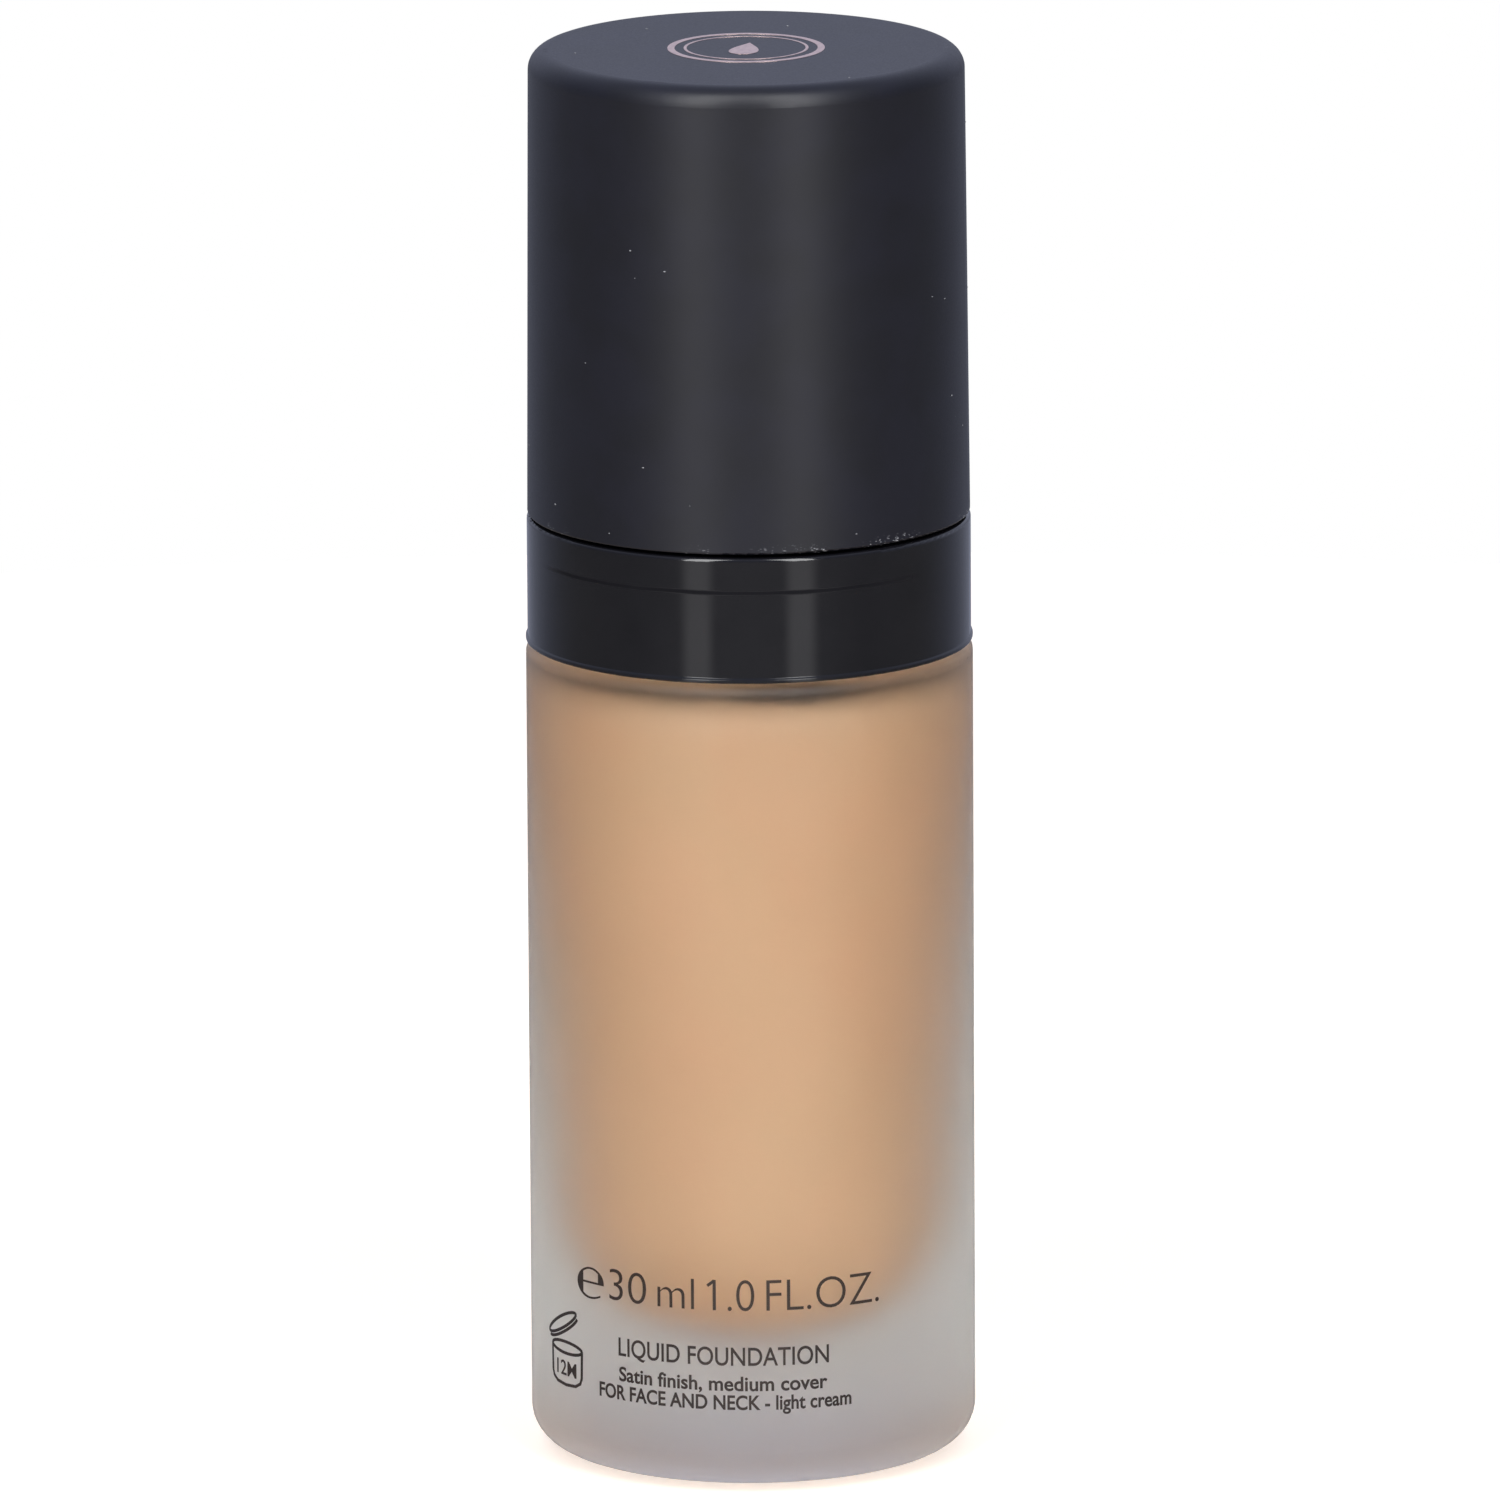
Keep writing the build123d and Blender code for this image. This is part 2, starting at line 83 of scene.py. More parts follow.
def add_node(tree, kind, settings=None, links=None):
    """Adds a node, sets its inputs or its own settings, and links its inputs."""
    node = tree.nodes.new(kind)
    for key, value in (settings or {}).items():
        if isinstance(key, int) or key in node.inputs:
            node.inputs[key].default_value = value
        else:
            setattr(node, key, value)
    for key, source in (links or {}).items():
        tree.links.new(source, node.inputs[key])
    return node


def start_material(name, **shader_values):
    """A material with one Principled shader and the piece's own coordinates."""
    material = bpy.data.materials.new(name)
    material.use_nodes = True
    tree = material.node_tree
    shader = tree.nodes["Principled BSDF"]
    for key, value in shader_values.items():
        shader.inputs[key.replace("_", " ")].default_value = value
    place = add_node(tree, "ShaderNodeTexCoord").outputs["Object"]
    return material, tree, shader, place


def noise(tree, place, size, detail=2.0, stretch=None):
    """A noise whose lumps measure about size, in metres."""
    if stretch:
        place = add_node(
            tree, "ShaderNodeMapping", {"Scale": stretch}, {"Vector": place}
        ).outputs[0]
    settings = {"Scale": 1 / size, "Detail": detail, "Roughness": 0.55}
    return add_node(tree, "ShaderNodeTexNoise", settings, {"Vector": place}).outputs[0]


def spread(tree, value, low, high, from_low=0.3, from_high=0.7):
    """Turns a noise or a place into a number from low to high."""
    settings = {
        "interpolation_type": "SMOOTHSTEP",
        "From Min": from_low,
        "From Max": from_high,
        "To Min": low,
        "To Max": high,
    }
    return add_node(tree, "ShaderNodeMapRange", settings, {"Value": value}).outputs[0]


def maths(tree, operation, *values):
    """A Math node on numbers or other nodes' outputs."""
    settings = {"operation": operation}
    links = {}
    for i, value in enumerate(values):
        if isinstance(value, (int, float)):
            settings[i] = value
        else:
            links[i] = value
    return add_node(tree, "ShaderNodeMath", settings, links).outputs[0]


def blend_colours(tree, share, first, second):
    """A colour between two hex colours or outputs, by share."""
    settings, links = {"data_type": "RGBA"}, {0: share}
    for i, colour in ((6, first), (7, second)):
        if isinstance(colour, str):
            settings[i] = linear(colour)
        else:
            links[i] = colour
    return add_node(tree, "ShaderNodeMix", settings, links).outputs[2]


def raise_grain(tree, shader, height, depth, strength=1.0):
    """Gives the shader's surface a bump of that depth, in metres."""
    settings = {"Distance": depth, "Strength": strength}
    bump = add_node(tree, "ShaderNodeBump", settings, {"Height": height})
    tree.links.new(bump.outputs[0], shader.inputs["Normal"])


def moulded(name, dark, light, rough_low, rough_high, grain, depth, **shader_values):
    """A moulded or sprayed surface: two close colours, uneven gloss and a fine grain."""
    material, tree, shader, place = start_material(name, **shader_values)
    cloud = noise(tree, place, 6 * MM)
    fine = noise(tree, place, grain)
    tint = blend_colours(tree, spread(tree, cloud, 0, 1), dark, light)
    tree.links.new(tint, shader.inputs["Base Color"])
    gloss = spread(tree, fine, rough_low, rough_high)
    tree.links.new(gloss, shader.inputs["Roughness"])
    raise_grain(tree, shader, fine, depth)
    return material, tree, shader, place


CAVITY_BOTTOM = 5 * MM  # below the cavity's floor and above the foot's push-up


def acid_etched_glass():
    """Soda-lime glass, mould-blown and dipped in acid: satin outside, clear inside."""
    material, tree, shader, place = start_material(
        "acid_etched_glass", IOR=1.5, Transmission_Weight=1.0
    )
    # The etched pits are about 0.05 mm wide, drawn at 0.12 mm so that they show
    pits = noise(tree, place, 0.12 * MM)
    cloud = noise(tree, place, 9 * MM)
    tint = blend_colours(tree, spread(tree, cloud, 0, 1), "#edf3ee", "#f2f5f1")
    axes = add_node(tree, "ShaderNodeSeparateXYZ", links={0: place}).outputs
    # Painted warm light: the base colour turns warmer towards the thick foot of the glass,
    # standing in for the warm light of the table top
    painted_warm_share = spread(tree, axes[2], 1, 0, 0.5 * MM, 8 * MM)
    painted_warm_tint = blend_colours(tree, painted_warm_share, tint, "#fff0df")
    tree.links.new(painted_warm_tint, shader.inputs["Base Color"])
    squares = [maths(tree, "MULTIPLY", axes[i], axes[i]) for i in (0, 1)]
    radius = maths(tree, "SQRT", maths(tree, "ADD", *squares))
    inner = maths(tree, "LESS_THAN", radius, barrel_radius - 2.5 * MM)
    above_floor = maths(tree, "GREATER_THAN", axes[2], CAVITY_BOTTOM)
    below_shoulder = maths(tree, "LESS_THAN", axes[2], collar_low.z - 1 * MM)
    clear = maths(tree, "MULTIPLY", maths(tree, "MULTIPLY", inner, above_floor), below_shoulder)
    etched = spread(tree, pits, 0.50, 0.60)
    gloss = add_node(tree, "ShaderNodeMix", {3: 0.06}, {0: clear, 2: etched}).outputs[0]
    tree.links.new(gloss, shader.inputs["Roughness"])
    raise_grain(tree, shader, pits, 0.004 * MM)
    return material


def tan_emulsion(name, dark, light):
    """Pigmented oil-in-water cream: opaque, soft satin, faintly streaked where it was filled."""
    material, tree, shader, place = start_material(name, IOR=1.4, Roughness=0.45)
    streaks = noise(tree, place, 11 * MM, stretch=(1, 1, 0.35))
    tint = blend_colours(tree, spread(tree, streaks, 0, 1), dark, light)
    tree.links.new(tint, shader.inputs["Base Color"])
    raise_grain(tree, shader, streaks, 0.05 * MM, 0.4)
    return material


def soft_touch_black():
    """Soft-touch lacquer over moulded ABS: dull, even, with scuffs at the lower rim."""
    # The lacquer's grain is about 0.03 mm wide, drawn at 0.15 mm so that it shows
    material, tree, shader, place = moulded(
        "soft_touch_black",
        "#11121a",
        "#14151f",
        0.38,
        0.43,
        0.15 * MM,
        0.0025 * MM,
        IOR=1.46,
    )
    axes = add_node(tree, "ShaderNodeSeparateXYZ", links={0: place}).outputs
    rim = spread(tree, axes[2], 1, 0, cap_low.z + 0.15 * MM, cap_low.z + 0.9 * MM)
    scratch = noise(tree, place, 0.35 * MM, detail=4, stretch=(1, 1, 3))
    worn = spread(tree, scratch, 0, 1, 0.60, 0.68)
    patches = spread(tree, noise(tree, place, 5 * MM), 0, 1, 0.52, 0.62)
    scuffs = maths(tree, "MULTIPLY", maths(tree, "MULTIPLY", rim, worn), patches)
    base = shader.inputs["Base Color"].links[0].from_socket
    tree.links.new(blend_colours(tree, scuffs, base, "#b9bcc2"), shader.inputs["Base Color"])
    return material


def polished_black_abs(name="polished_black_abs", line_level=None):
    """ABS from a polished mould: deep gloss, handling haze, and on the collar a faint line
    across the front that is duller and reflects less.
    """
    material, tree, shader, place = moulded(
        name, "#101014", "#131317", 0.06, 0.11, 2.5 * MM, 0.002 * MM, IOR=1.5
    )
    if line_level:
        # A thin line, rougher and with a weaker reflection, across the front of the collar only
        axes = add_node(tree, "ShaderNodeSeparateXYZ", links={0: place}).outputs
        wander = spread(tree, noise(tree, place, 12 * MM), -0.06 * MM, 0.06 * MM)
        level = maths(tree, "ADD", maths(tree, "ADD", axes[2], -line_level), wander)
        on_dull_line = spread(tree, maths(tree, "ABSOLUTE", level), 1, 0, 0.1 * MM, 0.26 * MM)
        front = spread(tree, axes[1], 1, 0, -0.75 * barrel_radius, -0.45 * barrel_radius)
        faint = maths(tree, "MULTIPLY", on_dull_line, front)
        gloss = shader.inputs["Roughness"].links[0].from_socket
        dulled = maths(tree, "ADD", gloss, maths(tree, "MULTIPLY", faint, 0.6))
        tree.links.new(dulled, shader.inputs["Roughness"])
        shine = maths(tree, "SUBTRACT", 0.5, maths(tree, "MULTIPLY", faint, 0.42))
        tree.links.new(shine, shader.inputs["Specular IOR Level"])
    return material


def moulded_black_pp():
    """Black polypropylene from a fine-sparked mould: dull, slightly waxy."""
    return moulded(
        "moulded_black_pp", "#1a1a1c", "#202022", 0.38, 0.50, 0.25 * MM, 0.006 * MM, IOR=1.49
    )[0]


def natural_pp():
    """Uncoloured polypropylene: milky and waxy, light soaks a little way in."""
    return moulded(
        "natural_pp",
        "#e6e6e0",
        "#efefea",
        0.28,
        0.38,
        0.4 * MM,
        0.004 * MM,
        IOR=1.49,
        Subsurface_Weight=0.35,
        Subsurface_Scale=0.0012,
    )[0]


def foamed_pe():
    """Foamed polyethylene sheet, die-cut: chalky white with open pores."""
    return moulded(
        "foamed_pe", "#dcdcd6", "#ecece8", 0.65, 0.8, 0.2 * MM, 0.03 * MM, IOR=1.5
    )[0]


def stainless_steel(name, low, high, grain, stretch):
    """Stainless steel: drawn wire keeps fine lines along it, a ground ball is near a mirror."""
    material, tree, shader, place = start_material(name, Metallic=1.0)
    lines = noise(tree, place, grain, stretch=stretch)
    tint = blend_colours(tree, lines, "#b4b6ba", "#c6c8cc")
    tree.links.new(tint, shader.inputs["Base Color"])
    tree.links.new(spread(tree, lines, low, high), shader.inputs["Roughness"])
    raise_grain(tree, shader, lines, 0.002 * MM)
    return material


def rose_gold_foil():
    """Hot-stamped metallised foil: pinkish gold, satin from the lacquer under it."""
    material, tree, shader, place = start_material("rose_gold_foil", Metallic=1.0)
    creases = noise(tree, place, 0.5 * MM)
    tint = blend_colours(tree, spread(tree, creases, 0, 1), "#e2c3ba", "#f0d6cd")
    tree.links.new(tint, shader.inputs["Base Color"])
    tree.links.new(spread(tree, creases, 0.30, 0.42), shader.inputs["Roughness"])
    raise_grain(tree, shader, creases, 0.004 * MM)
    return material


def screen_ink():
    """Screen-printed brown-black ink, fired on: dull, with a slightly uneven film."""
    return moulded(
        "screen_ink", "#221a17", "#2e2420", 0.5, 0.62, 0.2 * MM, 0.003 * MM, IOR=1.5
    )[0]


def lint():
    """Specks of pale household dust: dull fibres and grains."""
    return moulded("lint", "#707276", "#8c8e92", 0.8, 0.95, 0.1 * MM, 0.01 * MM, IOR=1.45)[0]


DULL_LINE_DROP = 10.5 * MM  # from the top of the guide ring down to the collar's duller line

glass = acid_etched_glass()
emulsion = tan_emulsion("tan_emulsion", "#deb08a", "#e2b791")
# The film's tan is darkened: painted shade of the band under the collar, on a real film of the
# filling
shaded_film_finish = tan_emulsion("tan_emulsion_film_painted_shade", "#4d3a30", "#5a4437")
cap_finish = soft_touch_black()
gloss_black = polished_black_abs()
collar_gloss = polished_black_abs(
    "polished_black_collar", collar_high.z - DULL_LINE_DROP
)
dull_black = moulded_black_pp()
milky = natural_pp()
foil = rose_gold_foil()
ink = screen_ink()
dust = lint()
wire = stainless_steel("drawn_steel_wire", 0.22, 0.34, 0.08 * MM, (1, 1, 6))
ground = stainless_steel("ground_steel_ball", 0.08, 0.12, 0.2 * MM, (1, 1, 1))

NODE_FINISHES = {
    "glass_bottle": glass,
    "foundation_liquid": emulsion,
    "neck_gasket": foamed_pe(),
    "pump_housing": milky,
    "dip_tube": milky,
    "inlet_ball": ground,
    "stem_retainer": dull_black,
    "pump_stem": milky,
    "piston_rod": milky,
    "piston": milky,
    "return_spring": wire,
    "threaded_ferrule": dull_black,
    "collar_shell": collar_gloss,
    "actuator_core": dull_black,
    "actuator_cover": gloss_black,
    "nozzle_tip": gloss_black,
    "cap_shell": cap_finish,
    "cap_liner": dull_black,
}
for node_name, finish in NODE_FINISHES.items():
    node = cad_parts[node_name]
    for material_slot in node.material_slots:
        material_slot.material = finish
    if not node.material_slots:
        node.data.materials.append(finish)


# Mesh helpers --------------------------------------------------------------------------


def piece_from(bm, name, material, body, smooth=True):
    """Merges doubles, turns faces outwards and puts the piece on its body."""
    bmesh.ops.remove_doubles(bm, verts=bm.verts, dist=0.5e-6)
    bmesh.ops.recalc_face_normals(bm, faces=bm.faces)
    mesh = bpy.data.meshes.new(name)
    bm.to_mesh(mesh)
    bm.free()
    for face in mesh.polygons:
        face.use_smooth = smooth
    mesh.materials.append(material)
    piece = add_object(name, mesh)
    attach(piece, body)
    return piece


def settled_mesh(made):
    """A plain mesh of the object as its text or node tree shapes it."""
    bpy.context.view_layer.update()
    settled = made.evaluated_get(bpy.context.evaluated_depsgraph_get())
    return bpy.data.meshes.new_from_object(settled)


def turned(profile, turns, closed=True):
    """Spins a profile, (radius, z) places at an angle, round the axis into a skin."""
    bm = bmesh.new()
    rings = []
    for i in range(turns):
        angle = 2 * math.pi * i / turns
        ring = [
            bm.verts.new((r * math.sin(angle), -r * math.cos(angle), z))
            for r, z in profile(angle)
        ]
        rings.append(ring)
    for ring, following in zip(rings, rings[1:] + rings[:1]):
        for k in range(len(ring) if closed else len(ring) - 1):
            j = (k + 1) % len(ring)
            bm.faces.new((ring[k], following[k], following[j], ring[j]))
    return bm


# Filling -------------------------------------------------------------------------------

WETTING = 0.03 * MM  # the filling reaches into the glass, so no air film is left
TOPPING = 0.35  # mm that the filling creeps up the shoulder above its nominal surface
FILL_TURNS = 180
POCKET_ANGLE = math.radians(24)  # an air pocket hangs here under the shoulder
POCKET_WIDTH = math.radians(18)
POCKET_DEPTH = 0.45 * MM
INNER_REACH = barrel_radius - 2.4 * MM  # beyond the cavity, within the outer wall
SHOULDER_REACH = 0.85 * MM  # past the shoulder's inner face, short of its outer one


def cavity_profile():
    """(radius, z) of the glass's inner wall: floor, wall, shoulder, foot of the neck."""
    rings = {}
    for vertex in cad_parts["glass_bottle"].data.vertices:
        radius = math.hypot(vertex.co.x, vertex.co.y)
        inside = CAVITY_BOTTOM < vertex.co.z < fill_surface + SHOULDER_REACH
        if inside and radius < INNER_REACH:
            ring = (round(vertex.co.z / (0.02 * MM)), round(radius / (0.1 * MM)))
            rings[ring] = (radius, vertex.co.z)
    return sorted(rings.values(), key=lambda place: place[1])


def filling_limit(angle):
    """Highest the filling reaches at an angle: its surface, or the floor of the pocket."""
    away = (angle - POCKET_ANGLE + math.pi) % (2 * math.pi) - math.pi
    pocket = math.exp(-((away / POCKET_WIDTH) ** 4))
    pocket *= 1 + 0.18 * math.sin(17 * away + 1) + 0.1 * math.sin(41 * away)
    ripple = 0.05 * math.sin(5 * angle + 1) + 0.03 * math.sin(13 * angle)
    return fill_surface + (TOPPING + ripple) * MM - pocket * POCKET_DEPTH


def make_shaded_film(wall):
    """A thin film of the filling left on the glass above its surface, in a darkened tan that
    paints the shade under the collar.
    """
    reach, root, skin = 1.2 * MM, 0.05 * MM, 0.08 * MM
    upper = [place for place in wall if place[1] > fill_surface - reach]

    def section(angle):
        low = filling_limit(angle) - skin
        outer = [(r + root, max(z + root, low)) for r, z in upper]
        inner = [(r - skin, max(z - skin, low)) for r, z in upper]
        return outer + inner[::-1]

    film = turned(section, FILL_TURNS)
    piece_from(film, "foundation_film_painted_shade", shaded_film_finish, "bottle")


def make_filling():
    """The filling: against the glass all round, with a pocket, and a well for the pump."""
    wall = cavity_profile()
    make_shaded_film(wall)
    gap = 0.3 * MM
    tube_well = tube_high.x + gap
    housing_well = min(
        math.hypot(v.co.x, v.co.y)
        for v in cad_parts["foundation_liquid"].data.vertices
        if v.co.z > fill_surface - 0.1 * MM
    )

    def section(angle):
        top = filling_limit(angle)
        line = [(0.0, wall[0][1] - WETTING)]
        for radius, z in wall[1:]:
            line.append((radius + WETTING, min(z + WETTING, top)))
        line.append((housing_well, line[-1][1]))
        line.append((housing_well, housing_foot - gap))
        line.append((tube_well, housing_foot - gap))
        line.append((tube_well, tube_low.z - gap))
        line.append((0.0, tube_low.z - gap))
        return line

    body = turned(section, FILL_TURNS)
    filling = piece_from(body, "foundation_fill", emulsion, "bottle")
    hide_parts("foundation_liquid")


make_filling()


# Print on the glass --------------------------------------------------------------------

INK_STAND = 0.02 * MM
INK_ROOT = 0.012 * MM
FACET = 0.6 * MM  # widest flat stretch left on the round wall


def text_outline(words, weight):
    """Flat mesh of words in the built-in type, one unit tall per em."""
    curve = bpy.data.curves.new("words", "FONT")
    curve.body = words
    curve.offset = weight
    curve.resolution_u = 6
    letters = add_object("words", curve)
    flat = settled_mesh(letters)
    bpy.data.objects.remove(letters)
    bpy.data.curves.remove(curve)
    return flat


def wrap_on_barrel(bm, name):
    """Cuts a flat design into narrow strips, bends it round the glass and thickens it."""
    xs = [v.co.x for v in bm.verts]
    cut = math.floor(min(xs) / FACET) * FACET
    while cut < max(xs):
        bmesh.ops.bisect_plane(
            bm,
            geom=bm.verts[:] + bm.edges[:] + bm.faces[:],
            plane_co=(cut, 0, 0),
            plane_no=(1, 0, 0),
            dist=1e-7,
        )
        cut += FACET
    bmesh.ops.remove_doubles(bm, verts=bm.verts, dist=1e-6)
    for vertex in bm.verts:
        angle = vertex.co.x / barrel_radius
        radius = barrel_radius - INK_ROOT
        vertex.co = (radius * math.sin(angle), -radius * math.cos(angle), vertex.co.y)
    bm.normal_update()
    made = bmesh.ops.extrude_face_region(bm, geom=bm.faces[:])
    lift = 1 + (INK_STAND + INK_ROOT) / barrel_radius
    for vertex in (g for g in made["geom"] if isinstance(g, bmesh.types.BMVert)):
        vertex.co.x *= lift
        vertex.co.y *= lift
    return piece_from(bm, name, ink, "bottle", smooth=False)


def print_words(name, words, capital, left, right, base, weight=0.0):
    """Words whose capitals are that tall, from left to right along the wall, in mm."""
    flat = text_outline(words, weight)
    sample = text_outline("H", 0.0)
    xs = [v.co.x for v in flat.vertices]
    tall = max(v.co.y for v in sample.vertices)
    across = (right - left) * MM / (max(xs) - min(xs))
    up = capital * MM / tall
    bm = bmesh.new()
    bm.from_mesh(flat)
    for vertex in bm.verts:
        vertex.co.x = left * MM + (vertex.co.x - min(xs)) * across
        vertex.co.y = base * MM + vertex.co.y * up
    wrap_on_barrel(bm, name)


def stroke(bm, points, width, closed=False):
    """A flat ribbon of even width along points, in mm."""
    path = [Vector(p) for p in points]
    count = len(path)
    sides = []
    for i, here in enumerate(path):
        before = path[i - 1] if closed or i else here
        after = path[(i + 1) % count] if closed or i < count - 1 else here
        along = (after - before).normalized()
        across = Vector((-along.y, along.x)) * width / 2
        sides.append([bm.verts.new(((here + s * across) * MM).to_3d()) for s in (1, -1)])
    for i in range(count if closed else count - 1):
        a, b = sides[i], sides[(i + 1) % count]
        bm.faces.new((a[0], a[1], b[1], b[0]))


def oval(centre, across, up, turn=0.0, steps=28):
    """Points of an oval in mm, turned by an angle."""
    c, s = math.cos(turn), math.sin(turn)
    made = []
    for i in range(steps):
        t = 2 * math.pi * i / steps
        x, y = across * math.cos(t), up * math.sin(t)
        made.append((centre[0] + c * x - s * y, centre[1] + s * x + c * y))
    return made


def print_open_jar():
    """The open-jar sign of months in use, drawn in thin lines, with its lid tipped up."""
    bm = bmesh.new()
    left, right, mouth = -18.4, -13.8, 10.9
    middle = (left + right) / 2
    line = 0.27
    stroke(bm, oval((middle, mouth), (right - left) / 2, 0.5), line, closed=True)
    wall = [(left, 10.85), (left + 0.05, 8.6), (left + 0.25, 8.1), (left + 0.9, 7.75)]
    wall += [(middle, 7.62), (right - 0.9, 7.75), (right - 0.25, 8.1), (right - 0.05, 8.6)]
    stroke(bm, wall + [(right, 10.85)], line)
    tip = math.radians(27)
    stroke(bm, oval((middle - 0.7, 13.0), 2.45, 0.5, tip), line, closed=True)
    stroke(bm, oval((middle - 0.52, 12.7), 2.45, 0.5, tip)[14:29], line)
    wrap_on_barrel(bm, "print_open_jar")


def print_flag_of_one():
    """The slanted flag at the top of the figure one."""
    bm = bmesh.new()
    stroke(bm, [(-1.08, 18.36), (-0.5, 18.83)], 0.26)
    wrap_on_barrel(bm, "print_flag_of_one")


print_words("print_estimated_sign", "\u212e", 3.5, -14.3, -11.05, 15.9, -0.006)
for label, word, left, right in (
    ("print_thirty", "30", -10.41, -6.63),
    ("print_millilitres", "ml", -5.54, -2.25),
    ("print_one", "1.0", -0.62, 2.92),
    ("print_fluid_ounces", "FL.OZ.", 3.95, 14.13),
):
    print_words(label, word, 2.74, left, right, 16.2, -0.012)
print_flag_of_one()
print_words("print_line_upper", "LIQUID FOUNDATION", 1.55, -9.45, 9.35, 11.45, 0.008)
print_words("print_line_middle", "Satin finish, medium cover", 1.2, -9.4, 9.2, 9.25, 0.02)
print_words("print_line_lower", "FOR FACE AND NECK - light cream", 1.2, -11.6, 11.4, 7.6, 0.02)
print_words("print_months", "12M", 1.25, -17.6, -14.6, 8.45, 0.006)
print_open_jar()


# Geometry node trees -------------------------------------------------------------------


def start_tree(name, inputs, takes_mesh):
    """A geometry node tree with named size inputs; returns it with its ends."""
    tree = bpy.data.node_groups.new(name, "GeometryNodeTree")
    if takes_mesh:
        tree.interface.new_socket(
            "Geometry", in_out="INPUT", socket_type="NodeSocketGeometry"
        )
    for label, (kind, value) in inputs.items():
        socket = tree.interface.new_socket(label, in_out="INPUT", socket_type=kind)
        socket.default_value = value
    tree.interface.new_socket("Geometry", in_out="OUTPUT", socket_type="NodeSocketGeometry")
    return tree, add_node(tree, "NodeGroupInput").outputs


def end_tree(tree, geometry, material):
    """Realizes the instances, sets the material and closes the tree."""
    real = add_node(tree, "GeometryNodeRealizeInstances", links={0: geometry})
    painted = add_node(
        tree, "GeometryNodeSetMaterial", {"Material": material}, {0: real.outputs[0]}
    )
    add_node(tree, "NodeGroupOutput", links={0: painted.outputs[0]})


def grow(name, tree, values, seed_mesh, body, smooth=False):
    """Runs a tree on a mesh with its inputs set, and keeps the result as a plain piece."""
    holder = add_object(name, seed_mesh)
    modifier = holder.modifiers.new("grow", "NODES")
    modifier.node_group = tree
    for item in tree.interface.items_tree:
        if item.in_out == "INPUT" and item.name in values:
            modifier[item.identifier] = values[item.name]
    made = settled_mesh(holder)
    holder.modifiers.remove(modifier)
    bpy.data.objects.remove(holder)
    made.name = name
    for face in made.polygons:
        face.use_smooth = smooth
    piece = add_object(name, made)
    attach(piece, body)
    return piece


def emblem_tree():
    """A flat band swept round a circle: the stamped ring of the emblem."""
    sizes = {
        "Radius": ("NodeSocketFloat", 0.006),
        "Width": ("NodeSocketFloat", 0.0004),
        "Height": ("NodeSocketFloat", 0.00004),
        "Level": ("NodeSocketFloat", 0.0),
    }
    tree, given = start_tree("emblem_ring", sizes, takes_mesh=False)
    circle = add_node(
        tree, "GeometryNodeCurvePrimitiveCircle", {"Resolution": 160}, {"Radius": given[0]}
    )
    band = add_node(
        tree,
        "GeometryNodeCurvePrimitiveQuadrilateral",
        links={"Width": given[1], "Height": given[2]},
    )
    ring = add_node(
        tree,
        "GeometryNodeCurveToMesh",
        links={"Curve": circle.outputs[0], "Profile Curve": band.outputs[0]},
    )
    lift = add_node(tree, "ShaderNodeCombineXYZ", links={2: given[3]})
    moved = add_node(
        tree,
        "GeometryNodeTransform",
        links={"Geometry": ring.outputs[0], "Translation": lift.outputs[0]},
    )
    end_tree(tree, moved.outputs[0], foil)
    return tree


def dust_tree():
    """Scatters small flakes over a surface, turned and sized at random."""
    sizes = {
        "Density": ("NodeSocketFloat", 4000.0),
        "Seed": ("NodeSocketInt", 7),
        "Smallest": ("NodeSocketFloat", 0.00004),
        "Largest": ("NodeSocketFloat", 0.00011),
    }
    tree, given = start_tree("dust_specks", sizes, takes_mesh=True)
    points = add_node(
        tree,
        "GeometryNodeDistributePointsOnFaces",
        links={"Mesh": given[0], "Density": given[1], "Seed": given[2]},
    )
    flake = add_node(tree, "GeometryNodeMeshIcoSphere", {"Radius": 1.0, "Subdivisions": 1})
    size = add_node(
        tree,
        "FunctionNodeRandomValue",
        {"data_type": "FLOAT"},
        {2: given[3], 3: given[4], "Seed": given[2]},
    )
    long_way = maths(tree, "MULTIPLY", size.outputs[1], 1.8)
    shape = add_node(
        tree,
        "ShaderNodeCombineXYZ",
        links={0: long_way, 1: size.outputs[1], 2: size.outputs[1]},
    )
    flakes = add_node(
        tree,
        "GeometryNodeInstanceOnPoints",
        links={
            "Points": points.outputs["Points"],
            "Instance": flake.outputs["Mesh"],
            "Rotation": points.outputs["Rotation"],
            "Scale": shape.outputs[0],
        },
    )
    end_tree(tree, flakes.outputs[0], dust)
    return tree


FOIL_HEIGHT = 0.03 * MM
EMBLEM_RADIUS = 6.35 * MM
foil_level = cap_high.z + FOIL_HEIGHT / 2 - 0.005 * MM

ring_tree = emblem_tree()
for ring_name, ring_radius, ring_width in (
    ("emblem_ring_outer", EMBLEM_RADIUS, 0.6 * MM),
    ("emblem_ring_inner", EMBLEM_RADIUS - 1.2 * MM, 0.25 * MM),
):
    ring_sizes = {
        "Radius": ring_radius,
        "Width": ring_width,
        "Height": FOIL_HEIGHT,
        "Level": foil_level,
    }
    empty = bpy.data.meshes.new(ring_name)
    grow(ring_name, ring_tree, ring_sizes, empty, "cap")


